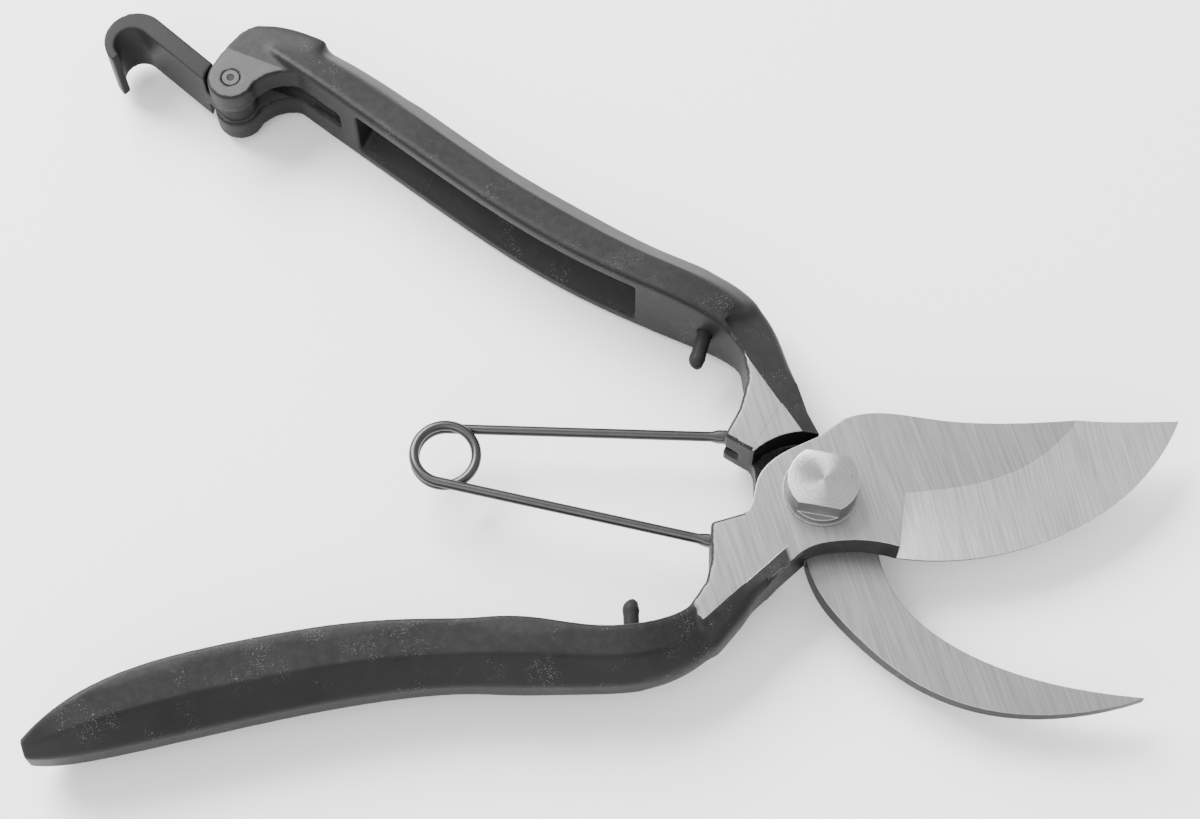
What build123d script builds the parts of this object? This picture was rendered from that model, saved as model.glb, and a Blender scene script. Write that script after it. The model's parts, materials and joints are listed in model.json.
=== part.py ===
from build123d import *
import os
from math import asin, atan2, cos, degrees, radians, sin, sqrt

# Bypass pruning shears, in millimetres.
# The pivot axis is Z. Z = 0 is the underside of the pivot nut, where the shears lie.
# +X points at the blade tips along the centreline of the closed shears.
# Outlines of the two arms are written for the closed shears in "arm coordinates":
# x along the centreline, y away from it, so both arms have positive y on their handles.
# The blade arm stays on the -Y side, and the hook arm is opened about the pivot.

# --- driving dimensions -------------------------------------------------------
open_angle = 48.0            # degrees from closed to the open stop
stop_gap = 0.15              # each stop face to the centreline when closed
running_gap = 0.05           # between faces that slide on each other
pivot_clearance = 0.05       # radial, bolt shank in the arms
cut_reach = 40.0             # how far a cutter runs past the metal
slab_radius = 200.0          # of the slabs that trim the handles

nut_height = 2.9
nut_across_flats = 11.0
lock_washer_height = 0.65
lock_washer_radius = 6.3
hook_layer = 4.4             # thickness of the hook arm at the pivot
blade_layer = 5.95           # thickness of the blade arm at the pivot
washer_height = 0.5
washer_radius = 6.4
bolt_radius = 3.95
bolt_head_radius = 5.85
bolt_flange_height = 0.6
bolt_head_height = 4.9       # over the flange and the head
bolt_dome = 0.5              # crown of the top face
bolt_shoulder_round = 1.5
bolt_flat_offset = 4.7       # the two wrench flats, from the axis
bolt_flat_angle = -27.0      # direction of the flats, degrees from +X

handle_depth = 17.6          # along the pivot axis
section_round = 0.9
facet_share = 0.60           # where the top facet ends, as a share of a section's width
facet_drop = 1.7             # how far the top facet falls by there
ridge_half = 2.4             # half height of the outer edge band
wall = 3.2                   # forging wall round the hollow in a handle
blade_handle_land = 0.5      # ground off the crown of each handle, top and bottom
hook_handle_land = 0.35

blade_edge_land = 0.12       # flat left at the cutting edge
hook_tip_thickness = 2.2
hook_blade_thickness = 3.0

spring_wire_radius = 0.85
spring_ring_radius = 5.2     # centre of the wire
spring_leg = 49.6            # from the coil's centre to where an end sits in its neck
spring_seat_radius = 17.3    # from the pivot to where an end sits
spring_seat_angle = 11.3     # degrees off the centreline, closed
spring_ring_gap = 0.12       # between the two turns of wire
spring_end_size = 2.0        # flattened end, across
spring_end_height = 1.9      # flattened end, along the pivot axis
spring_end_length = 4.6
spring_slot_clearance = 0.35

peg_radius = 1.3
peg_length = 6.3
peg_sink = 2.0               # how far a peg goes into its handle
peg_lean = 15.0              # degrees towards the pivot

pin_radius = 1.5
pin_clearance = 0.05
boss_radius = 4.2
ear_height = 14.6            # over both ears of the fork
tongue_height = 4.0
tongue_clearance = 0.15
latch_height = 12.4
latch_bar = 3.5
latch_scoop_clearance = 0.7
latch_swing = 57.0           # degrees from folded back to hooked over the other handle
latch_hook_radius = 3.1      # inside of the hook
latch_reach = 18.7           # pin to the middle of the hook
latch_tip = 1.5

# --- places worked out from them ----------------------------------------------
arm_bottom = nut_height + lock_washer_height + running_gap
hook_top = arm_bottom + hook_layer
blade_bottom = hook_top + running_gap
blade_top = blade_bottom + blade_layer
neck_half = (blade_top - arm_bottom) / 2
mid_height = (blade_top + arm_bottom) / 2
handle_half = handle_depth / 2
blade_crown = handle_half + blade_handle_land
hook_crown = handle_half + hook_handle_land
head_bottom = blade_top + washer_height

upper_level = mid_height + spring_wire_radius + spring_ring_gap / 2
lower_level = mid_height - spring_wire_radius - spring_ring_gap / 2

blade_frame = Plane.XY
hook_frame = Plane.XY.rotated((0, 0, -open_angle))


def place(frame, side, x, y, z=0.0):
    """A point of an arm, given in arm coordinates, as a place in the model."""
    return frame.from_local_coords(Vector(x, side * y, z))


def section_plane(frame, side, inner, outer):
    """The upright plane across a handle: local x from the inner face to the outer, local y up."""
    start = place(frame, side, *inner, mid_height)
    across = place(frame, side, *outer, mid_height) - start
    return Plane(origin=start, x_dir=across, z_dir=across.cross(Vector(0, 0, 1)))


def handle_section(frame, side, inner, outer, half):
    """One forged section: flat inner face, sloping facets, narrow band at the outer edge."""
    width = sqrt((outer[0] - inner[0]) ** 2 + (outer[1] - inner[1]) ** 2)
    shoulder = facet_share * width
    shoulder_half = half - facet_drop
    edge_half = min(ridge_half, shoulder_half - section_round)
    with BuildSketch(section_plane(frame, side, inner, outer)) as sketch:
        with BuildLine():
            Polyline(
                (0, -half), (0, half), (shoulder, shoulder_half), (width, edge_half),
                (width, -edge_half), (shoulder, -shoulder_half), close=True,
            )
        make_face()
        fillet(sketch.vertices(), section_round)
    return sketch.sketch


def hollow_section(frame, side, inner, outer, half):
    """The same section of the hollow that opens in the handle's inner face."""
    width = sqrt((outer[0] - inner[0]) ** 2 + (outer[1] - inner[1]) ** 2)
    depth = width - wall
    with BuildSketch(section_plane(frame, side, inner, outer)) as sketch:
        with BuildLine():
            Polyline(
                (-wall, wall - half), (-wall, half - wall), (0, half - wall),
                (depth, ridge_half), (depth, -ridge_half), (0, wall - half), close=True,
            )
        make_face()
    return sketch.sketch


# --- the two arms' shapes, in arm coordinates -----------------------------------
# A station is (inner point, outer point, half height).
blade_stations = [
    ((-20.9, 6.4), (-16.2, 14.4), neck_half),
    ((-23.2, 10.0), (-19.8, 17.6), neck_half),
    ((-26.4, 12.6), (-24.8, 20.3), neck_half + 0.6),
    ((-31.0, 13.9), (-30.6, 22.2), neck_half + 2.2),
    ((-37.0, 13.8), (-37.7, 22.3), blade_crown - 0.5),
    ((-46.0, 11.0), (-48.5, 19.7), blade_crown),
    ((-60.0, 6.0), (-62.4, 15.5), blade_crown),
    ((-74.0, 2.3), (-75.8, 12.5), blade_crown),
    ((-90.0, -0.3), (-91.1, 10.7), blade_crown),
    ((-106.0, -1.5), (-106.5, 9.7), blade_crown),
    ((-120.0, -0.7), (-120.0, 8.9), blade_crown),
    ((-129.0, 1.6), (-129.2, 7.9), blade_crown - 1.4),
    ((-134.4, 3.4), (-134.6, 6.4), blade_crown - 4.2),
]
hook_stations = [
    ((-18.8, 6.4), (-12.6, 14.4), neck_half),
    ((-20.3, 11.0), (-16.6, 18.6), neck_half),
    ((-23.2, 14.6), (-21.2, 22.6), neck_half + 0.6),
    ((-28.0, 16.2), (-27.2, 25.6), neck_half + 2.2),
    ((-34.0, 16.2), (-34.2, 26.4), hook_crown - 0.5),
    ((-45.0, 15.1), (-45.2, 25.3), hook_crown),
    ((-60.0, 14.2), (-60.0, 24.8), hook_crown),
    ((-75.0, 14.8), (-74.6, 25.1), hook_crown),
    ((-90.0, 16.3), (-89.2, 26.5), hook_crown),
    ((-104.0, 17.9), (-103.2, 28.0), hook_crown),
    ((-116.0, 19.2), (-115.2, 28.4), hook_crown - 0.2),
    ((-125.4, 20.6), (-124.4, 26.4), hook_crown - 1.4),
]
hollow_first = 5
hollow_last = -2

blade_neck = [
    (-19.0, stop_gap), (-21.0, 6.4), (-22.8, 9.6), (-26.4, 12.6),
    (-24.4, 20.6), (-19.8, 17.4), (-16.2, 14.6), (-10.7, 11.4),
]
hook_neck = [
    (-18.5, stop_gap), (-18.8, 5.6), (-20.3, 11.0), (-23.2, 14.6),
    (-21.0, 22.2), (-16.6, 18.6), (-12.6, 14.8), (-8.8, 11.2),
]
shoulder_arc = [(-5.3, 8.8), (-10.6, 4.8), (-12.9, stop_gap)]
facet_line = [(-7.7, 7.4), (-26.4, 16.4)]
facet_fall = 3.4             # drop of the neck's facet
facet_run = 8.0              # over this width

hub_arc = [(-12.3, 0.3), (-9.6, 4.6), (-5.6, 7.5), (-1.6, 8.5), (2.6, 9.1)]
blade_spine = [(10.4, 10.9), (22.2, 6.4), (37.5, 1.3), (50.0, -1.4), (62.8, -3.5)]
blade_belly = [
    (62.8, -3.5), (57.8, -8.3), (48.2, -13.9), (37.0, -16.8), (24.0, -17.1), (9.0, -12.9),
]
ricasso = [(9.0, -12.9), (4.2, -10.4), (0.0, -9.2), (-4.0, -8.8), (-8.0, -10.0)]

hook_outer = [
    (2.6, 9.1), (7.0, 13.0), (16.9, 17.0), (27.5, 18.8), (38.0, 17.6), (49.7, 12.2), (61.3, 1.8),
]
hook_inner = [
    (61.3, 1.8), (50.4, 6.5), (38.7, 9.6), (28.5, 10.1), (20.0, 8.1), (12.6, 2.4), (9.2, -3.2),
]
hook_hub_back = [(9.2, -3.2), (5.4, -7.6), (0.0, -9.2), (-4.6, -8.6), (-8.0, -10.0)]

# The hollow-ground bevel runs from its upper border to the cutting edge. Past the middle of the
# blade the border leaves the metal, so the whole width tapers to the tip.
bevel_border = [(12.9, -4.4), (20.0, -5.7), (28.5, -6.2), (37.5, -4.4), (46.4, 0.8), (55.0, 7.5), (62.0, 14.0)]
bevel_edge = [(9.0, -13.3), (18.4, -16.9), (29.4, -18.0), (40.2, -17.0), (49.9, -13.9), (58.9, -8.4), (64.8, -2.2)]
bevel_sections = 19
bevel_hollow = 0.45          # depth of the hollow grind below a flat bevel


def blade_bevel_cutter():
    """Sections of the metal that is ground away above the cutting edge."""
    border = Spline(*[(x, y, 0) for x, y in bevel_border])
    edge = Spline(*[(x, y, 0) for x, y in bevel_edge])
    drop = blade_bottom + blade_edge_land - blade_top
    clear = 4.0
    sections = []
    for step in range(bevel_sections):
        share = step / (bevel_sections - 1)
        top = border @ share
        across = edge @ share - top
        width = across.length
        plane = Plane(origin=top + Vector(0, 0, blade_top), x_dir=across,
                      z_dir=across.cross(Vector(0, 0, 1)))
        with BuildSketch(plane) as sketch:
            with BuildLine():
                ThreePointArc((0, 0), (width / 2, drop / 2 - bevel_hollow), (width, drop))
                Polyline((width, drop), (width + clear, drop), (width + clear, blade_layer),
                         (0, blade_layer), (0, 0))
            make_face()
        sections.append(sketch.sketch)
    return sections


def neck_facet_cutters(frame, side):
    """Wedges that slope the neck's outer side above and below the ground flats."""
    (x1, y1), (x2, y2) = facet_line
    length = sqrt((x2 - x1) ** 2 + (y2 - y1) ** 2)
    along = ((x2 - x1) / length, (y2 - y1) / length)
    cutters = []
    over = 3.0
    start = place(frame, side, x1 - over * along[0], y1 - over * along[1])
    end = place(frame, side, x2 + over * along[0], y2 + over * along[1])
    outward = place(frame, side, x1 - along[1], y1 + along[0]) - place(frame, side, x1, y1)
    if outward.Y * side < 0:
        outward = outward * -1
    for flip in (1, -1):
        level = mid_height + flip * neck_half
        origin = Vector(start.X, start.Y, level)
        plane = Plane(origin=origin, x_dir=outward, z_dir=end - start)
        up = 1 if plane.y_dir.Z > 0 else -1
        with BuildSketch(plane) as sketch:
            with BuildLine():
                Polyline((0, 0), (facet_run * 2, -flip * up * facet_fall * 2),
                         (facet_run * 2, flip * up * neck_half), (0, flip * up * neck_half),
                         close=True)
            make_face()
        cutters.append((sketch.sketch, (end - start).length))
    return cutters


def spring_slot(frame, side, seat, level):
    """Plan of the slot for a spring end: a round seat opened through the corner of the neck."""
    half = spring_end_size / 2 + spring_slot_clearance + 0.6
    reach = 9.0
    with BuildSketch(frame.offset(level)) as sketch:
        with Locations((seat[0], side * seat[1])):
            Circle(half)
        with BuildLine():
            Polyline((seat[0] + 0.6, side * (seat[1] + half)),
                     (seat[0] - reach, side * (seat[1] + half)),
                     (seat[0] - reach, side * (seat[1] - reach)),
                     (seat[0], side * (seat[1] - reach)),
                     (seat[0] + half, side * seat[1]), close=True)
        make_face()
    return sketch.sketch


blade_peg_foot = (-36.6, 13.9)
hook_peg_foot = (-31.6, 16.3)
seat_x = -spring_seat_radius * cos(radians(spring_seat_angle))
seat_y = spring_seat_radius * sin(radians(spring_seat_angle))
slot_height = 2 * spring_wire_radius + 2 * spring_slot_clearance


def add_handle(frame, side, stations):
    """Handle and neck of an arm, with the hollow in its inner face."""
    loft(sections=[handle_section(frame, side, *station) for station in stations])
    hollow = [hollow_section(frame, side, *s) for s in stations[hollow_first:hollow_last]]
    loft(sections=hollow, mode=Mode.SUBTRACT)
    for level, depth in ((mid_height + handle_half, cut_reach), (mid_height - handle_half, -cut_reach)):
        with BuildSketch(Plane.XY.offset(level)) as land:
            Circle(slab_radius)
        extrude(to_extrude=land.sketch, amount=depth, mode=Mode.SUBTRACT)


def add_neck(frame, side, neck):
    """Full-thickness block between the pivot and the handle, with its facets and spring slot."""
    arc = [(x, side * y) for x, y in shoulder_arc]
    with BuildSketch(frame.offset(arm_bottom)) as block:
        with BuildLine():
            Polyline(arc[2], *[(x, side * y) for x, y in neck], arc[0])
            ThreePointArc(*arc)
        make_face()
    extrude(to_extrude=block.sketch, amount=2 * neck_half)
    for cutter, length in neck_facet_cutters(frame, side):
        extrude(to_extrude=cutter, amount=length, mode=Mode.SUBTRACT)


def cut_spring_slot(frame, side, level):
    slot = spring_slot(frame, side, (seat_x, seat_y), level)
    extrude(to_extrude=slot, amount=slot_height / 2, both=True, mode=Mode.SUBTRACT)


def peg_plane(frame, side, foot_point, sunk):
    """Plane across a peg, on its axis, at the inner face or sunk below it."""
    x, y = foot_point
    foot = place(frame, side, x, y, mid_height)
    lean = radians(peg_lean)
    axis = place(frame, side, x + sin(lean), y - cos(lean), mid_height) - foot
    return Plane(origin=foot - axis * sunk, x_dir=axis.cross(Vector(0, 0, 1)), z_dir=axis)


def peg_circle(frame, side, foot_point, sunk=peg_sink):
    with BuildSketch(peg_plane(frame, side, foot_point, sunk)) as sketch:
        Circle(peg_radius)
    return sketch.sketch


# --- blade arm: cutting blade, neck and handle in one forging --------------------
with BuildPart() as blade_arm:
    add_handle(blade_frame, -1, blade_stations)
    add_neck(blade_frame, -1, blade_neck)
    with BuildSketch(blade_frame.offset(blade_bottom)):
        with BuildLine():
            Line((-19.0, -stop_gap), (-12.9, -stop_gap))
            Spline((-12.9, -stop_gap), *hub_arc)
            Line(hub_arc[-1], (7.6, 10.9))
            Spline((7.6, 10.9), *blade_spine)
            Spline(*blade_belly)
            Spline(*ricasso)
            Polyline(ricasso[-1], (-16.0, -13.6), (-19.0, -stop_gap))
        make_face()
    extrude(amount=blade_layer)
    loft(sections=blade_bevel_cutter(), ruled=True, mode=Mode.SUBTRACT)
    cut_spring_slot(blade_frame, -1, upper_level)
    extrude(to_extrude=peg_circle(blade_frame, -1, blade_peg_foot), amount=peg_sink + peg_length,
            mode=Mode.SUBTRACT)
    with BuildSketch(Plane.XY.offset(arm_bottom)):
        Circle(bolt_radius + pivot_clearance)
    extrude(amount=2 * neck_half, mode=Mode.SUBTRACT)
blade_arm.part.label = "blade_arm"

# --- hook arm: hooked counter blade, neck, handle and the fork at its tail ---------
pin_x, pin_y = -126.4, 12.6
ear_back = [(-116.0, 28.0), (-123.5, 26.8), (-129.0, 23.6), (-130.6, 18.4), (-130.6, 12.6)]
ear_front = [(-122.3, 13.6), (-120.4, 17.2), (-116.0, 19.6)]
fork_slot = [(-136.0, 4.0), (-136.0, 18.2), (-127.0, 20.0), (-108.0, 20.6), (-108.0, 4.0)]

with BuildPart() as hook_arm:
    add_handle(hook_frame, 1, hook_stations)
    add_neck(hook_frame, 1, hook_neck)
    with BuildSketch(hook_frame.offset(arm_bottom)):
        with BuildLine():
            Line((-18.5, stop_gap), (-12.9, stop_gap))
            Spline((-12.9, stop_gap), *[(x, -y) for x, y in hub_arc])
            Spline(*[(x, -y) for x, y in hook_outer])
            Spline(*[(x, -y) for x, y in hook_inner])
            Spline(*[(x, -y) for x, y in hook_hub_back])
            Polyline((hook_hub_back[-1][0], -hook_hub_back[-1][1]), (-16.0, 13.6),
                     (-18.5, stop_gap))
        make_face()
    extrude(amount=hook_layer)
    # the underside of the hooked blade is ground away towards the tip
    side_plane = Plane(origin=(0, 0, 0), x_dir=hook_frame.x_dir, z_dir=-hook_frame.y_dir)
    with BuildSketch(side_plane) as under_cut:
        with BuildLine():
            Polyline((9.0, 0), (9.0, arm_bottom), (26.0, hook_top - hook_blade_thickness),
                     (70.0, hook_top - hook_tip_thickness), (70.0, 0), close=True)
        make_face()
    extrude(to_extrude=under_cut.sketch, amount=cut_reach, both=True, mode=Mode.SUBTRACT)
    cut_spring_slot(hook_frame, 1, lower_level)
    extrude(to_extrude=peg_circle(hook_frame, 1, hook_peg_foot), amount=peg_sink + peg_length,
            mode=Mode.SUBTRACT)
    with BuildSketch(Plane.XY.offset(arm_bottom)):
        Circle(bolt_radius + pivot_clearance)
    extrude(amount=2 * neck_half, mode=Mode.SUBTRACT)
    with BuildSketch(hook_frame.offset(mid_height)) as ears:
        with BuildLine():
            Spline(*ear_back)
            ThreePointArc(ear_back[-1], (pin_x, pin_y - boss_radius), ear_front[0])
            Spline(*ear_front)
            Line(ear_front[-1], ear_back[0])
        make_face()
    extrude(to_extrude=ears.sketch, amount=ear_height / 2, both=True)
    with BuildSketch(hook_frame.offset(mid_height)) as gap:
        Polygon(*fork_slot, align=None)
    extrude(to_extrude=gap.sketch, amount=tongue_height / 2 + tongue_clearance, both=True,
            mode=Mode.SUBTRACT)
    with BuildSketch(hook_frame.offset(mid_height)) as pin_hole:
        with Locations((pin_x, pin_y)):
            Circle(pin_radius)
    extrude(to_extrude=pin_hole.sketch, amount=ear_height, both=True, mode=Mode.SUBTRACT)
hook_arm.part.label = "hook_arm"

# --- latch and its pin -------------------------------------------------------------
pin_place = place(hook_frame, 1, pin_x, pin_y)
latch_heading = radians(170.0 - open_angle)
latch_plane = Plane(
    origin=(pin_place.X, pin_place.Y, mid_height),
    x_dir=(cos(latch_heading), sin(latch_heading), 0), z_dir=(0, 0, 1),
)
bar_outer = -0.3
bar_inner = bar_outer + latch_bar
hook_outer_radius = (latch_bar + 2 * latch_hook_radius + latch_tip) / 2
hook_middle = bar_outer + hook_outer_radius
cavity_middle = bar_inner + latch_hook_radius

with BuildPart() as latch:
    with BuildSketch(latch_plane) as bar:
        with BuildLine():
            Line((0, bar_outer), (latch_reach, bar_outer))
            ThreePointArc((latch_reach, bar_outer),
                          (latch_reach + hook_outer_radius, hook_middle),
                          (latch_reach, hook_middle + hook_outer_radius))
            Line((latch_reach, hook_middle + hook_outer_radius),
                 (latch_reach, cavity_middle + latch_hook_radius))
            ThreePointArc((latch_reach, cavity_middle + latch_hook_radius),
                          (latch_reach + latch_hook_radius, cavity_middle),
                          (latch_reach, bar_inner))
            Line((latch_reach, bar_inner), (0, bar_inner))
            Line((0, bar_inner), (0, bar_outer))
        make_face()
    extrude(to_extrude=bar.sketch, amount=latch_height / 2, both=True)
    with BuildSketch(latch_plane) as scoop:
        Circle(boss_radius + latch_scoop_clearance)
    extrude(to_extrude=scoop.sketch, amount=latch_height, both=True, mode=Mode.SUBTRACT)
    with BuildSketch(latch_plane) as tongue:
        Circle(boss_radius - latch_scoop_clearance)
        with BuildLine():
            Polyline((0, -2.8), (6.4, bar_outer), (6.4, bar_inner), (0, 3.4), close=True)
        make_face()
    extrude(to_extrude=tongue.sketch, amount=tongue_height / 2, both=True)
    with BuildSketch(latch_plane) as eye:
        Circle(pin_radius + pin_clearance)
    extrude(to_extrude=eye.sketch, amount=latch_height, both=True, mode=Mode.SUBTRACT)
latch.part.label = "latch"

with BuildPart() as latch_pin:
    with BuildSketch(latch_plane):
        Circle(pin_radius)
    extrude(amount=ear_height / 2, both=True)
latch_pin.part.label = "latch_pin"

# --- pivot: bolt, washers and nut ----------------------------------------------------
with BuildPart() as pivot_bolt:
    head_top = head_bottom + bolt_head_height
    flange_top = head_bottom + bolt_flange_height
    with BuildSketch(Plane.XZ) as profile:
        with BuildLine():
            Polyline((0, 0), (bolt_radius, 0), (bolt_radius, head_bottom),
                     (bolt_head_radius, head_bottom), (bolt_head_radius, head_top - bolt_dome))
            ThreePointArc((bolt_head_radius, head_top - bolt_dome),
                          (bolt_head_radius / 2, head_top - bolt_dome / 4), (0, head_top))
            Line((0, head_top), (0, 0))
        make_face()
        fillet(profile.vertices().sort_by_distance((bolt_head_radius, 0, head_top))[0],
               bolt_shoulder_round)
    revolve(axis=Axis.Z)
    flat_plane = Plane.XY.rotated((0, 0, bolt_flat_angle))
    with BuildSketch(flat_plane.offset(flange_top)) as flats:
        with GridLocations(0, 2 * (bolt_flat_offset + bolt_head_radius), 1, 2):
            Rectangle(4 * bolt_head_radius, 2 * bolt_head_radius)
    extrude(to_extrude=flats.sketch, amount=bolt_head_height, mode=Mode.SUBTRACT)
pivot_bolt.part.label = "pivot_bolt"

with BuildPart() as bolt_washer:
    with BuildSketch(Plane.XY.offset(blade_top)):
        Circle(washer_radius)
        Circle(bolt_radius + pivot_clearance, mode=Mode.SUBTRACT)
    extrude(amount=washer_height)
bolt_washer.part.label = "bolt_washer"

with BuildPart() as lock_washer:
    with BuildSketch(Plane.XY.offset(nut_height)):
        Circle(lock_washer_radius)
        Circle(bolt_radius + pivot_clearance, mode=Mode.SUBTRACT)
    extrude(amount=lock_washer_height)
lock_washer.part.label = "lock_washer"

with BuildPart() as pivot_nut:
    with BuildSketch(Plane.XY):
        RegularPolygon(nut_across_flats / 2, 6, major_radius=False, rotation=bolt_flat_angle)
    extrude(amount=nut_height)
    with BuildSketch(Plane.XY):
        Circle(bolt_radius)
    extrude(amount=nut_height, mode=Mode.SUBTRACT)
pivot_nut.part.label = "pivot_nut"

# --- return spring: one wire with a turn and a half of coil, in two halves -------------
seat_a = Vector(seat_x, -seat_y, 0)
seat_b = place(hook_frame, 1, seat_x, seat_y)
between = seat_b - seat_a
chord = between.length
back = Vector(-between.Y, between.X, 0).normalized()
coil_centre = (seat_a + seat_b) * 0.5 + back * sqrt(spring_leg ** 2 - chord ** 2 / 4)
tangent_length = sqrt(spring_leg ** 2 - spring_ring_radius ** 2)
tangent_angle = degrees(asin(spring_ring_radius / spring_leg))


def leave_point(seat, turn):
    """Where the wire from a seat touches the coil, turning off the centre line by an angle."""
    ray = (coil_centre - seat).normalized().rotate(Axis.Z, turn)
    return seat + ray * tangent_length


touch_a = leave_point(seat_a, tangent_angle)
touch_b = leave_point(seat_b, -tangent_angle)


def at_level(point, level):
    return Vector(point.X, point.Y, level)


def wire_leg(touch, seat, level):
    """Straight round wire from the coil to the middle of the neck."""
    start = at_level(touch, level)
    run = at_level(seat, level) - start
    with BuildSketch(Plane(origin=start, z_dir=run)) as sketch:
        Circle(spring_wire_radius)
    return sketch.sketch, run.length


def squared_end(touch, seat, level):
    """The flattened last stretch of wire, which sits in the neck's slot."""
    run = (seat - touch).normalized()
    start = at_level(seat - run * spring_end_length, level)
    with BuildSketch(Plane(origin=start, x_dir=(0, 0, 1), z_dir=run)) as sketch:
        Rectangle(spring_end_height, spring_end_size)
    return sketch.sketch


start_ray = touch_a - at_level(coil_centre, 0)
end_ray = touch_b - at_level(coil_centre, 0)

with BuildPart() as coil_leg:
    with BuildSketch(Plane(origin=at_level(touch_a, upper_level), x_dir=start_ray,
                           z_dir=start_ray.cross(Vector(0, 0, 1)))) as wire:
        Circle(spring_wire_radius)
    revolve(profiles=wire.sketch, axis=Axis(at_level(coil_centre, upper_level), (0, 0, 1)))
    leg, length = wire_leg(touch_a, seat_a, upper_level)
    extrude(to_extrude=leg, amount=length)
    extrude(to_extrude=squared_end(touch_a, seat_a, upper_level), amount=spring_end_length)
coil_leg.part.label = "coil_leg"

with BuildPart() as plain_leg:
    sweep_angle = (degrees(atan2(start_ray.Y, start_ray.X))
                   - degrees(atan2(end_ray.Y, end_ray.X))) % 360
    with BuildSketch(Plane(origin=at_level(touch_b, lower_level), x_dir=end_ray,
                           z_dir=end_ray.cross(Vector(0, 0, 1)))) as wire:
        Circle(spring_wire_radius)
    revolve(profiles=wire.sketch, axis=Axis(at_level(coil_centre, lower_level), (0, 0, 1)),
            revolution_arc=sweep_angle)
    leg, length = wire_leg(touch_b, seat_b, lower_level)
    extrude(to_extrude=leg, amount=length)
    extrude(to_extrude=squared_end(touch_b, seat_b, lower_level), amount=spring_end_length)
plain_leg.part.label = "plain_leg"


# --- barbed pegs on the inner faces of the handles ---------------------------------------
with BuildPart() as blade_peg:
    extrude(to_extrude=peg_circle(blade_frame, -1, blade_peg_foot), amount=peg_sink + peg_length)
blade_peg.part.label = "blade_peg"

with BuildPart() as hook_peg:
    extrude(to_extrude=peg_circle(hook_frame, 1, hook_peg_foot), amount=peg_sink + peg_length)
hook_peg.part.label = "hook_peg"

os.makedirs("parts", exist_ok=True)
for piece in (blade_arm, hook_arm, latch, latch_pin, pivot_bolt, bolt_washer, lock_washer,
              pivot_nut, coil_leg, plain_leg, blade_peg, hook_peg):
    export_step(piece.part, f"parts/{piece.part.label}.step")
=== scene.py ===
"""Bypass pruning shears, open on a pale floor: forged black handles, ground blades, turned bolt."""

import json
import math

import bmesh
import bpy
from mathutils import Matrix, Vector


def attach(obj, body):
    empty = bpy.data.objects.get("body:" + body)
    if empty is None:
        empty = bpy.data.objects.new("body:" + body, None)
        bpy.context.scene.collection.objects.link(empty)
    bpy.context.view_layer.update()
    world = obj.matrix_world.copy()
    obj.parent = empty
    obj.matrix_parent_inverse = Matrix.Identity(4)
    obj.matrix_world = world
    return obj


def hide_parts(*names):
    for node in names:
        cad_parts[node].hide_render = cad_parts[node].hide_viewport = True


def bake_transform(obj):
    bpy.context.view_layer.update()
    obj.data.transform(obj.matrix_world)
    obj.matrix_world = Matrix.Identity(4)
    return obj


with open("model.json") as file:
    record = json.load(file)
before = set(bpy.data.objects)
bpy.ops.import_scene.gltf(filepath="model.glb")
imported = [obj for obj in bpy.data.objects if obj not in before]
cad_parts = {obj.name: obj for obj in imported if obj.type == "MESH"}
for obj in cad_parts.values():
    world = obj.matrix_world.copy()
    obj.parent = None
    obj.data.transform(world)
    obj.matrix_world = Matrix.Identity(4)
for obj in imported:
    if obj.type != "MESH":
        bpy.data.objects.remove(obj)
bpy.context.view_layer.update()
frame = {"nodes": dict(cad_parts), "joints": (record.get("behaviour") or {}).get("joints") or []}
nodes = frame["nodes"]
MM = 0.001


def in_scene(name, data):
    obj = bpy.data.objects.new(name, data)
    bpy.context.scene.collection.objects.link(obj)
    return obj


# --- camera, at the photograph's angle ------------------------------------------------
camera_data = bpy.data.cameras.new("camera")
camera_data.lens = 72
camera_data.sensor_width = 36
camera_data.clip_start = 0.01
camera_data.clip_end = 10
camera = in_scene("camera", camera_data)
camera.location = (-0.07502, -0.12547, 0.38131)
camera.rotation_euler = (math.radians(23), 0, math.radians(-16.5))
bpy.context.scene.camera = camera


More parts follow.
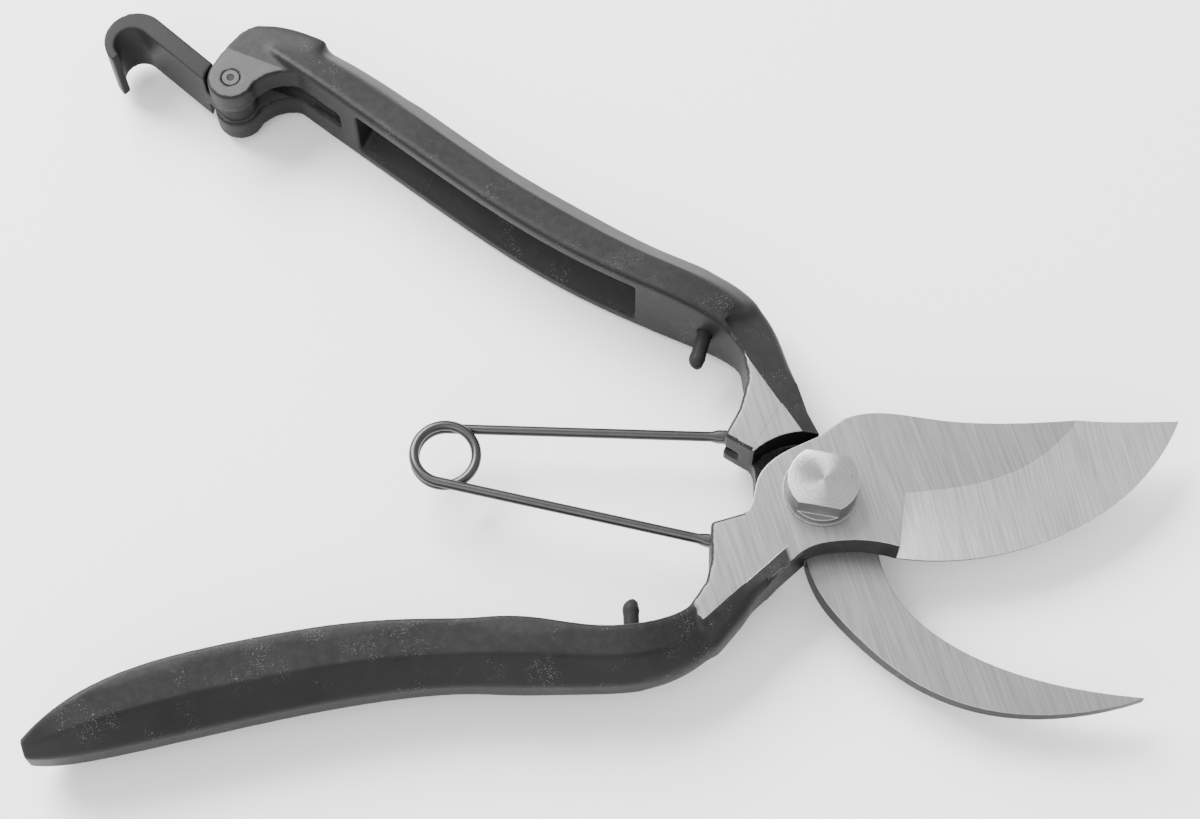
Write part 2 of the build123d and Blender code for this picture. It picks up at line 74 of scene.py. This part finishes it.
# --- shader building blocks -----------------------------------------------------------
class Shader:
    """A material's node tree, with short names for the nodes that the finishes share."""

    def __init__(self, name):
        self.material = bpy.data.materials.new(name)
        self.material.use_nodes = True
        self.tree = self.material.node_tree
        self.tree.nodes.clear()
        self.surface = self.add("BsdfPrincipled")
        self.link(self.surface.outputs[0], self.add("OutputMaterial").inputs["Surface"])
        self.place = self.add("TexCoord")
        self.here = self.place.outputs["Object"]

    def add(self, kind):
        return self.tree.nodes.new("ShaderNode" + kind)

    def link(self, source, target):
        self.tree.links.new(source, target)

    def put(self, value, socket):
        """Sets a socket to a value, or links it to another node's output."""
        if isinstance(value, bpy.types.NodeSocket):
            self.link(value, socket)
        else:
            socket.default_value = value

    def math(self, operation, a, b=0.0):
        node = self.add("Math")
        node.operation = operation
        self.put(a, node.inputs[0])
        self.put(b, node.inputs[1])
        return node.outputs[0]

    def plus(self, a, b):
        return self.math("ADD", a, b)

    def times(self, a, b):
        return self.math("MULTIPLY", a, b)

    def vector_math(self, operation, a, b):
        node = self.add("VectorMath")
        node.operation = operation
        self.put(a, node.inputs[0])
        self.put(b, node.inputs[1])
        return node.outputs["Value"]

    def along(self, direction):
        """How far a point lies along a direction from the object's origin."""
        return self.vector_math("DOT_PRODUCT", self.here, direction)

    def height(self, vector):
        node = self.add("SeparateXYZ")
        self.link(vector, node.inputs[0])
        return node.outputs["Z"]

    def upward(self):
        """1 on a face that looks up, 0 on an upright one, -1 on one that looks down."""
        return self.height(self.place.outputs["Normal"])

    def distance_from(self, x, y):
        """Distance from the upright line through x, y."""
        return self.vector_math("DISTANCE", self.stretched((1, 1, 0)), (x, y, 0))

    def ramp(self, value, low, high, start=0.0, end=1.0):
        """start up to low, end from high on, and a smooth step between."""
        node = self.add("MapRange")
        node.interpolation_type = "SMOOTHSTEP"
        self.put(value, node.inputs["Value"])
        node.inputs["From Min"].default_value = low
        node.inputs["From Max"].default_value = high
        node.inputs["To Min"].default_value = start
        node.inputs["To Max"].default_value = end
        return node.outputs["Result"]

    def stretched(self, scale, turn=0.0):
        """Object coordinates, turned about Z and then scaled."""
        node = self.add("Mapping")
        node.vector_type = "POINT"
        node.inputs["Rotation"].default_value = (0, 0, turn)
        node.inputs["Scale"].default_value = scale
        self.link(self.here, node.inputs["Vector"])
        return node.outputs["Vector"]

    def noise(self, scale, detail=4.0, roughness=0.55, vector=None):
        node = self.add("TexNoise")
        node.inputs["Scale"].default_value = scale
        node.inputs["Detail"].default_value = detail
        node.inputs["Roughness"].default_value = roughness
        self.link(vector or self.here, node.inputs["Vector"])
        return node.outputs["Fac"]

    def rings(self, radius, scale, detail):
        """Noise that depends on the radius only."""
        node = self.add("TexNoise")
        node.noise_dimensions = "1D"
        node.inputs["Scale"].default_value = scale
        node.inputs["Detail"].default_value = detail
        self.link(radius, node.inputs["W"])
        return node.outputs["Fac"]

    def mix(self, share, a, b):
        """Colour a where share is 0 and colour b where it is 1."""
        node = self.add("Mix")
        node.data_type = "RGBA"
        self.put(share, node.inputs["Factor"])
        self.put(a, node.inputs[6])
        self.put(b, node.inputs[7])
        return node.outputs[2]

    def blend(self, share, a, b):
        """Number a where share is 0 and number b where it is 1."""
        node = self.add("Mix")
        node.data_type = "FLOAT"
        self.put(share, node.inputs["Factor"])
        self.put(a, node.inputs[2])
        self.put(b, node.inputs[3])
        return node.outputs[0]

    def bump(self, height, distance, strength, normal):
        node = self.add("Bump")
        node.inputs["Strength"].default_value = strength
        node.inputs["Distance"].default_value = distance
        self.link(height, node.inputs["Height"])
        self.link(normal, node.inputs["Normal"])
        return node.outputs["Normal"]

    def soft_edges(self, radius):
        """The surface normal with its edges rounded, and a mask that is 1 on those edges."""
        rounded = self.add("Bevel")
        rounded.samples = 4
        rounded.inputs["Radius"].default_value = radius
        normal = rounded.outputs["Normal"]
        plain = self.add("NewGeometry").outputs["Normal"]
        match = self.vector_math("DOT_PRODUCT", normal, plain)
        return normal, self.ramp(match, 0.97, 0.80)

    def specular(self, level):
        self.surface.inputs["Specular IOR Level"].default_value = level

    def finish(self, colour, roughness, metallic, normal=None):
        self.put(colour, self.surface.inputs["Base Color"])
        self.put(roughness, self.surface.inputs["Roughness"])
        self.put(metallic, self.surface.inputs["Metallic"])
        if normal is not None:
            self.link(normal, self.surface.inputs["Normal"])
        return self.material


def grey(value):
    return (value, value, value, 1)


def dress(obj, material):
    obj.data.materials.clear()
    obj.data.materials.append(material)


# --- forged and ground steel of the two arms ------------------------------------------
NECK_LEVEL = 14.0 * MM               # level of the ground flats on both necks
FACET_FOOT = (-7.7 * MM, 7.4 * MM)   # a point on the border between a neck's flat and its facet
FACET_OUT = (0.434, 0.901)           # square to that border, away from the flat
LEVEL_FACE = (0.985, 0.999)          # how upright the normal of a level face is
EAR_GREYS = (grey(0.040), grey(0.066))


def in_arm(turn, side, x, y, z=0.0):
    """A point or direction, from x along an arm at rest and y away from the centreline."""
    return Matrix.Rotation(turn, 3, "Z") @ Vector((x, side * y, z))


def facet_border(turn, side):
    """The direction square to the facet's border, and how far along it the border lies."""
    out = in_arm(turn, side, *FACET_OUT)
    return out, in_arm(turn, side, *FACET_FOOT).dot(out)


def neck_mask(s, turn, side, along_arm, level):
    """1 on the neck's ground flat, up to the border of the black facet."""
    out, border = facet_border(turn, side)
    past_border = s.math("SUBTRACT", s.along(out), border)
    off_facet = s.math("MAXIMUM", s.ramp(past_border, -0.05 * MM, 0.05 * MM, 1, 0),
                       s.ramp(along_arm, -9.0 * MM, -8.0 * MM))
    height = s.height(s.here)
    above_hook = s.ramp(height, NECK_LEVEL - 0.3 * MM, NECK_LEVEL - 0.1 * MM)
    below_handle = s.ramp(height, NECK_LEVEL + 0.1 * MM, NECK_LEVEL + 0.3 * MM, 1, 0)
    return s.times(s.times(s.times(level, above_hook), below_handle), off_facet)


def ear_mask(s, turn, side, ear, level):
    """1 on the level top of the fork's ear, round the pin."""
    rim = in_arm(turn, side, -0.15, 1)
    past_pin = s.math("SUBTRACT", s.along(rim), ear.dot(rim))
    inside_rim = s.ramp(past_pin, 5.0 * MM, 5.4 * MM, 1, 0)
    near_pin = s.ramp(s.distance_from(ear.x, ear.y), 9.5 * MM, 10.5 * MM, 1, 0)
    return s.times(s.times(level, near_pin), inside_rim)


def scale_finish(s, up, mottle, fine, specks, edge):
    """Black scale, clouded, lighter grey in mottled patches on faces that look up, and worn through
    in pale specks and on edges.
    """
    cloud = s.noise(110, 3)
    # faces that look up are made lighter grey in mottled patches
    lighter_on_top = s.times(s.ramp(up, 0.84, 0.98), s.ramp(mottle, 0.25, 0.75, 0.25, 1.0))
    worn = s.times(edge, s.ramp(s.noise(420, 4, 0.7), 0.36, 0.60))
    colour = s.mix(cloud, grey(0.005), grey(0.016))
    colour = s.mix(s.times(lighter_on_top, 0.75), colour, grey(0.022))
    colour = s.mix(s.times(specks, 0.45), colour, grey(0.22))
    colour = s.mix(s.times(worn, 0.8), colour, grey(0.26))
    return colour, s.plus(s.blend(cloud, 0.34, 0.46), s.times(fine, 0.10))


def ground_finish(s, lines, bevel, edge):
    """Ground steel with the fine lines of the wheel, brightest on the blade's bevel."""
    waves = s.noise(60, 2)
    share = s.plus(s.times(s.ramp(lines, 0.2, 0.8), 0.6), s.times(waves, 0.4))
    flat_colour = s.mix(share, grey(0.21), grey(0.34))
    bevel_colour = s.mix(share, grey(0.32), grey(0.64))
    colour = s.mix(bevel, flat_colour, bevel_colour)
    colour = s.mix(s.times(edge, 0.5), colour, grey(0.75))
    return colour, s.blend(lines, 0.30, 0.42)


def arm_steel(name, turn, side, blade_start, ear=None):
    """Black forging scale, ground bright on the neck's flat and on the blade.

    turn is the arm's heading, blade_start how far from the pivot its blade begins, and ear
    the place of the pin in a fork whose top is rubbed.
    """
    s = Shader(name)
    soft, edge = s.soft_edges(0.35 * MM)
    up = s.upward()
    upright = s.math("ABSOLUTE", up)
    level = s.ramp(upright, *LEVEL_FACE)
    along_arm = s.along(in_arm(turn, side, 1, 0))
    blade = s.times(s.ramp(along_arm, blade_start, blade_start + 0.4 * MM),
                    s.ramp(upright, 0.35, 0.5))
    bevel = s.times(blade, s.ramp(upright, *LEVEL_FACE, 1, 0))
    ground = s.math("MAXIMUM", neck_mask(s, turn, side, along_arm, level), blade)

    mottle = s.noise(700, 4, 0.65)
    fine = s.noise(2200, 4, 0.7)
    specks = s.times(s.ramp(s.noise(4200, 2, 0.5), 0.60, 0.68),
                     s.ramp(s.noise(150, 3, 0.6), 0.50, 0.68))
    scale_colour, scale_rough = scale_finish(s, up, mottle, fine, specks, edge)
    if ear is not None:
        on_ear = ear_mask(s, turn, side, ear, level)
        scale_colour = s.mix(on_ear, scale_colour, s.mix(mottle, *EAR_GREYS))

    lines = s.noise(2600, 3, 0.55, s.stretched((1.0, 0.035, 0.035), -turn))
    ground_colour, ground_rough = ground_finish(s, lines, bevel, edge)
    pitted = s.plus(s.times(fine, 0.5), s.times(s.noise(260, 4), 0.9))
    relief = s.blend(ground, pitted, s.times(lines, 0.10))
    s.specular(0.14)
    return s.finish(s.mix(ground, scale_colour, ground_colour),
                    s.blend(ground, scale_rough, ground_rough),
                    s.blend(ground, s.times(specks, 0.5), 1.0),
                    s.bump(relief, 0.06 * MM, 1.0, soft))


# --- steel of the small parts ---------------------------------------------------------
def plain_steel(name, dark, light, rough, scale, radius=0.25, metallic=1.0, specular=0.5):
    """Satin or blackened steel with a fine random grain and brighter worn edges."""
    s = Shader(name)
    soft, edge = s.soft_edges(radius * MM)
    grain = s.noise(scale, 5, 0.65)
    patch = s.noise(scale / 12, 3)
    share = s.plus(s.times(grain, 0.5), s.times(patch, 0.5))
    colour = s.mix(share, grey(dark), grey(light))
    colour = s.mix(s.times(edge, 0.6), colour, grey(light * 2.2))
    s.specular(specular)
    return s.finish(colour, s.blend(grain, rough, rough + 0.16), metallic,
                    s.bump(grain, 0.02 * MM, 0.6, soft))


def turned_steel(name):
    """Bright steel with the rings of the lathe on its crown, and rougher wrench flats and sides,
    painted darker as shade.
    """
    s = Shader(name)
    soft, edge = s.soft_edges(0.3 * MM)
    top = s.ramp(s.upward(), 0.7, 0.95)
    lathe = s.rings(s.distance_from(0, 0), 9000, 3)
    grain = s.noise(1500, 4, 0.6)
    crown = s.mix(s.ramp(lathe, 0.3, 0.7), grey(0.26), grey(0.42))
    # every face that does not look up, wrench flats and round sides alike, gets a darker colour:
    # painted shade
    painted_shade_sides = s.mix(grain, grey(0.10), grey(0.19))
    tarnish = s.ramp(s.noise(700, 4, 0.7), 0.55, 0.72)
    colour = s.mix(top, painted_shade_sides, crown)
    colour = s.mix(s.times(edge, 0.5), colour, grey(0.62))
    colour = s.mix(s.times(tarnish, 0.35), colour, grey(0.20))
    tangent = s.add("Tangent")
    tangent.direction_type = "RADIAL"
    tangent.axis = "Z"
    s.link(tangent.outputs[0], s.surface.inputs["Tangent"])
    s.link(s.blend(top, 0.0, 0.85), s.surface.inputs["Anisotropic"])
    roughness = s.blend(top, s.blend(grain, 0.26, 0.40), s.blend(lathe, 0.20, 0.34))
    return s.finish(colour, roughness, 1.0, s.bump(lathe, 0.01 * MM, 0.5, soft))


def pin_steel(name, centre):
    """Grey pin end, flush with its ear, with the pit of a centre drill, its dark colour painted
    shade.
    """
    s = Shader(name)
    soft = s.soft_edges(0.15 * MM)[0]
    # the centre-drill pit is dented by the bump and painted near-black as the shade inside it
    dot = s.ramp(s.distance_from(centre.x, centre.y), 0.50 * MM, 0.75 * MM, 1, 0)
    mottle = s.noise(700, 4, 0.65)
    colour = s.mix(dot, s.mix(mottle, *EAR_GREYS), grey(0.003))
    height = s.math("SUBTRACT", s.times(mottle, 0.1), dot)
    s.specular(0.17)
    return s.finish(colour, s.blend(mottle, 0.38, 0.50), 0.0, s.bump(height, 0.3 * MM, 0.7, soft))


# --- mesh tools -----------------------------------------------------------------------
def add_object(name, vertices, faces, material, slot, body=None):
    mesh = bpy.data.meshes.new(name)
    mesh.from_pydata([tuple(v) for v in vertices], [], faces)
    mesh.validate()
    mesh.update()
    mesh.shade_smooth()
    obj = in_scene(name, mesh)
    dress(obj, material)
    if body:
        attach(obj, body)
    return obj


def sweep(path, rings):
    """Vertices and faces of a closed skin round a path, from a ring of (across, up) per point."""
    vertices = []
    faces = []
    count = len(rings[0])
    for i, (point, ring) in enumerate(zip(path, rings)):
        ahead = path[min(i + 1, len(path) - 1)] - path[max(i - 1, 0)]
        across = Vector((0, 0, 1)).cross(ahead).normalized()
        lift = ahead.cross(across).normalized()
        vertices += [point + across * a + lift * b for a, b in ring]
        if i:
            base = (i - 1) * count
            for k in range(count):
                after = (k + 1) % count
                faces.append((base + k, base + after, base + count + after, base + count + k))
    faces.append(tuple(reversed(range(count))))
    faces.append(tuple(range(len(vertices) - count, len(vertices))))
    return vertices, faces


def circle(radius, count, squash=1.0, square=0.0):
    """A ring of points; square pushes it out towards a rounded square."""
    points = []
    for k in range(count):
        angle = 2 * math.pi * k / count
        c, s = math.cos(angle), math.sin(angle)
        grow = 1 + square * (1 / max(abs(c), abs(s)) - 1)
        points.append((radius * c * grow, radius * s * grow * squash))
    return points


def step(value, low, high):
    """0 up to low, 1 from high on, and a smooth step between."""
    share = min(1.0, max(0.0, (value - low) / (high - low)))
    return share * share * (3 - 2 * share)


def at_height(place, height):
    return Vector((place.x, place.y, height))


# --- places read from the frame -------------------------------------------------------
hinges = {joint["name"]: joint for joint in frame["joints"]}
hook_turn = -math.radians(hinges["main_pivot"]["range_deg"][1])
latch_pin_place = Vector(hinges["latch_hinge"]["pos_m"])
coil_centre = Vector(hinges["spring_bend"]["pos_m"])

# The spring in plan: it is the same on both sides of the line from the pivot to its coil.
flat_centre = at_height(coil_centre, 0)
flat_a = at_height(Vector(hinges["spring_seat"]["pos_m"]), 0)
mirror = flat_centre.normalized()
flat_b = 2 * mirror * flat_a.dot(mirror) - flat_a

# --- forged arms: soft edges on the grips, crisp ones on the ground heads ---------------
TUCK = 1.2 * MM            # how far a grip runs on under its head
SINK = 0.03 * MM           # and how deep it lies there
FORK_START = -60 * MM      # from here to the tail the hook arm's whole grip may be smoothed


def half_of(node, heading, cut, grip):
    """The part of a CAD node on one side of a plane across its arm. A grip is closed at the cut."""
    bm = bmesh.new()
    bm.from_mesh(nodes[node].data)
    if grip:
        bmesh.ops.remove_doubles(bm, verts=bm.verts, dist=0.002 * MM)
    everything = bm.verts[:] + bm.edges[:] + bm.faces[:]
    bmesh.ops.bisect_plane(bm, geom=everything, plane_co=heading * cut, plane_no=heading,
                           clear_outer=grip, clear_inner=not grip)
    if grip:
        open_edges = [edge for edge in bm.edges if edge.is_boundary]
        bmesh.ops.triangle_fill(bm, edges=open_edges, use_beauty=False)
    mesh = bpy.data.meshes.new(node + ("_grip" if grip else "_head"))
    bm.to_mesh(mesh)
    bm.free()
    return mesh


def with_modifiers(obj):
    """Replaces an object's mesh with what its modifiers make of it."""
    bpy.context.view_layer.update()
    evaluated = obj.evaluated_get(bpy.context.evaluated_depsgraph_get())
    made = bpy.data.meshes.new_from_object(evaluated)
    obj.modifiers.clear()
    obj.data = made


def remeshed(obj, voxel, iterations):
    """Even small faces in place of the CAD's, and edges rounded by smoothing."""
    remesh = obj.modifiers.new("forging", "REMESH")
    remesh.mode = "VOXEL"
    remesh.voxel_size = voxel
    smooth = obj.modifiers.new("soft_edges", "SMOOTH")
    smooth.factor = 0.5
    smooth.iterations = iterations
    with_modifiers(obj)
    obj.data.shade_smooth()


def flowing(obj, weight_at, iterations):
    """Smooths the places that weight_at picks until one shape flows into the next."""
    group = obj.vertex_groups.new(name="flow")
    for vertex in obj.data.vertices:
        weight = weight_at(vertex.co)
        if weight > 0.01:
            group.add([vertex.index], weight, "REPLACE")
    smooth = obj.modifiers.new("flow", "SMOOTH")
    smooth.factor = 0.5
    smooth.iterations = iterations
    smooth.vertex_group = "flow"
    with_modifiers(obj)


def sunk_from(obj, heading, cut):
    """Draws the skin in by a hair where it runs under the head, so that no seam shows."""
    inward = [vertex.normal * -SINK for vertex in obj.data.vertices]
    for vertex, move in zip(obj.data.vertices, inward):
        vertex.co += move * step(vertex.co.dot(heading), cut - 0.1 * MM, cut + 0.2 * MM)


def joins_weight(turn, side, joins):
    """A function that gives 1 in the stretches where two forged shapes meet, and 0 elsewhere.

    joins lists (from, to, inner) in arm coordinates, with inner the least distance from the
    centreline. The neck's flat is left out.
    """
    heading = in_arm(turn, side, 1, 0)
    aside = in_arm(turn, side, 0, 1)
    out, border = facet_border(turn, side)

    def weight_at(place):
        weight = 0.0
        for low, high, inner in joins:
            along = place.dot(heading)
            stretch = step(along, low, low + 4 * MM) * (1 - step(along, high - 4 * MM, high))
            off_flat = step(place.dot(out) - border, 0.3 * MM, 1.5 * MM)
            if along < FORK_START:
                off_flat = 1.0
            outer = step(place.dot(aside), inner, inner + 1 * MM)
            weight = max(weight, stretch * off_flat * outer)
        return weight

    return weight_at


def forged_arm(name, node, turn, side, cut, joins, material):
    """Two pieces for an arm: its grip, softened as forgings are, and its ground head."""
    heading = in_arm(turn, side, 1, 0)
    grip = in_scene(name + "_grip", half_of(node, heading, cut + TUCK, True))
    remeshed(grip, 0.35 * MM, 6)
    flowing(grip, joins_weight(turn, side, joins), 90)
    sunk_from(grip, heading, cut)
    head = in_scene(name + "_head", half_of(node, heading, cut, False))
    head.data.shade_smooth()
    for obj in (grip, head):
        dress(obj, material)
        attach(obj, node)
    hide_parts(node)


# --- return spring: one bent wire with a turn and a half of coil -------------------------
WIRE = 0.85 * MM           # radius of the wire
RING = 5.2 * MM            # radius of the coil, to the middle of the wire
LEVEL_GAP = 0.91 * MM      # each leg's height over or under the coil's middle
LEG_STEPS = 40
COIL_STEPS = 150
HAMMERED = 5.0 * MM        # length of the flattened ends
RUN_IN = 1.2 * MM          # and of the change from round to flat


def wire_path():
    """Points along the wire from the blade arm's seat, round the coil, to the hook arm's seat."""
    leg = (flat_a - flat_centre).length
    straight = math.sqrt(leg ** 2 - RING ** 2)
    off = math.asin(RING / leg)
    towards_a = Matrix.Rotation(off, 3, "Z") @ (flat_centre - flat_a).normalized()
    towards_b = Matrix.Rotation(-off, 3, "Z") @ (flat_centre - flat_b).normalized()
    touch_a = flat_a + towards_a * straight
    touch_b = flat_b + towards_b * straight
    start = math.atan2(touch_a.y - flat_centre.y, touch_a.x - flat_centre.x)
    end = math.atan2(touch_b.y - flat_centre.y, touch_b.x - flat_centre.x)
    turn = (start - end) % (2 * math.pi) + 2 * math.pi
    high = coil_centre.z + LEVEL_GAP
    low = coil_centre.z - LEVEL_GAP
    path = [at_height(flat_a.lerp(touch_a, k / LEG_STEPS), high) for k in range(LEG_STEPS)]
    for k in range(COIL_STEPS + 1):
        share = k / COIL_STEPS
        angle = start - turn * share
        height = high + (low - high) * step(share, 0, 1)
        path.append(flat_centre + Vector((RING * math.cos(angle), RING * math.sin(angle), height)))
    path += [at_height(touch_b.lerp(flat_b, k / LEG_STEPS), low) for k in range(1, LEG_STEPS + 1)]
    return path


def wire_rings(path):
    """Round wire whose last few millimetres are hammered flat and square."""
    lengths = [0.0]
    for a, b in zip(path, path[1:]):
        lengths.append(lengths[-1] + (b - a).length)
    rings = []
    for length in lengths:
        to_end = min(length, lengths[-1] - length)
        flat = min(1.0, max(0.0, (HAMMERED - to_end) / RUN_IN))
        rings.append(circle(WIRE * (1 + 0.16 * flat), 24, 1 - 0.10 * flat, flat * 0.75))
    return rings


# --- stop pegs --------------------------------------------------------------------------
PEG_LENGTH = 6.3 * MM
PEG_RADIUS = 1.3 * MM
PEG_LEVEL = 8.8 * MM
PEG_LEAN = math.radians(15)
PEG_STEPS = 24             # steps along the length that shows
ROOT_STEPS = 6             # steps that stay inside the handle
NOSE_START = 0.72          # share of the length where the nose starts to bend
NOSE_REACH = 0.75 * MM


def peg(name, node, body, foot, heading, nose_way):
    """A short rivet leaning out of the handle, its tip drawn to a small nose."""
    path = []
    rings = []
    for k in range(-ROOT_STEPS, PEG_STEPS + 1):
        share = k / PEG_STEPS
        bend = max(0.0, share - NOSE_START) / (1 - NOSE_START)
        nose = nose_way * NOSE_REACH * bend ** 2
        path.append(foot + heading * PEG_LENGTH * share + nose)
        swell = 1 + 0.10 * math.exp(-((share - 0.78) / 0.12) ** 2)
        point = 1 - 0.55 * bend ** 3
        rings.append(circle(PEG_RADIUS * swell * point, 28))
    obj = add_object(name, *sweep(path, rings), black_steel, "latch_steel", body)
    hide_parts(node)


# --- the pieces -------------------------------------------------------------------------
wire_steel = plain_steel("wire_steel", 0.035, 0.085, 0.24, 2400, 0.1)
black_steel = plain_steel("black_steel", 0.010, 0.030, 0.34, 1200, metallic=0.0, specular=0.05)
washer_steel = plain_steel("washer_steel", 0.16, 0.32, 0.24, 900)

GRIP_CUT = -13.2 * MM
forged_arm("blade_forging", "blade_arm", 0.0, -1, GRIP_CUT,
           [(-40 * MM, -13 * MM, 0)],
           arm_steel("blade_arm_steel", 0.0, -1, 8.7 * MM))
forged_arm("hook_forging", "hook_arm", hook_turn, 1, GRIP_CUT,
           [(-38 * MM, -13 * MM, 0), (-130 * MM, -96 * MM, 21.5 * MM)],
           arm_steel("hook_arm_steel", hook_turn, 1, 2.0 * MM, latch_pin_place))

dress(nodes["pivot_bolt"], turned_steel("turned_bolt_steel"))
dress(nodes["latch_pin"], pin_steel("pin_steel", latch_pin_place))
for washer in ("bolt_washer", "lock_washer", "pivot_nut"):
    dress(nodes[washer], washer_steel)

latch = in_scene("handle_latch", nodes["latch"].data.copy())
remeshed(latch, 0.22 * MM, 8)
dress(latch, black_steel)
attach(latch, "latch")
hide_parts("latch")

path = wire_path()
spring = add_object("return_spring", *sweep(path, wire_rings(path)), wire_steel, "spring_wire")
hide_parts("coil_leg", "plain_leg")
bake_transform(spring)

for name, node, body, turn, side, foot in (
        ("blade_stop_peg", "blade_peg", "blade_arm", 0.0, -1, (-36.6 * MM, 13.9 * MM)),
        ("hook_stop_peg", "hook_peg", "hook_arm", hook_turn, 1, (-31.6 * MM, 16.3 * MM))):
    peg(name, node, body, in_arm(turn, side, *foot, PEG_LEVEL),
        in_arm(turn, side, math.sin(PEG_LEAN), -math.cos(PEG_LEAN)),
        in_arm(turn, side, math.cos(PEG_LEAN), math.sin(PEG_LEAN)))

# --- floor and light --------------------------------------------------------------------
floor_mesh = bpy.data.meshes.new("floor")
floor_mesh.from_pydata([(-3, -3, 0), (3, -3, 0), (3, 3, 0), (-3, 3, 0)], [], [(0, 1, 2, 3)])
floor = in_scene("floor", floor_mesh)
floor.location.z = -0.1 * MM
dress(floor, Shader("pale_floor").finish(grey(0.90), 0.9, 0.0))


def area_light(name, power, size, place):
    """A rectangular soft light that faces the pivot."""
    data = bpy.data.lights.new(name, "AREA")
    data.energy = power
    data.shape = "RECTANGLE"
    data.size, data.size_y = size
    light = in_scene(name, data)
    light.location = place
    light.rotation_euler = (-Vector(place)).to_track_quat("-Z", "Y").to_euler()


area_light("window", 40, (0.8, 0.6), (-0.35, 0.75, 0.75))
area_light("fill", 8, (1.0, 1.0), (-0.6, -0.5, 0.9))
world = bpy.data.worlds.new("studio")
world.use_nodes = True
world.node_tree.nodes["Background"].inputs["Color"].default_value = (1, 1, 1, 1)
world.node_tree.nodes["Background"].inputs["Strength"].default_value = 1.45
bpy.context.scene.world = world
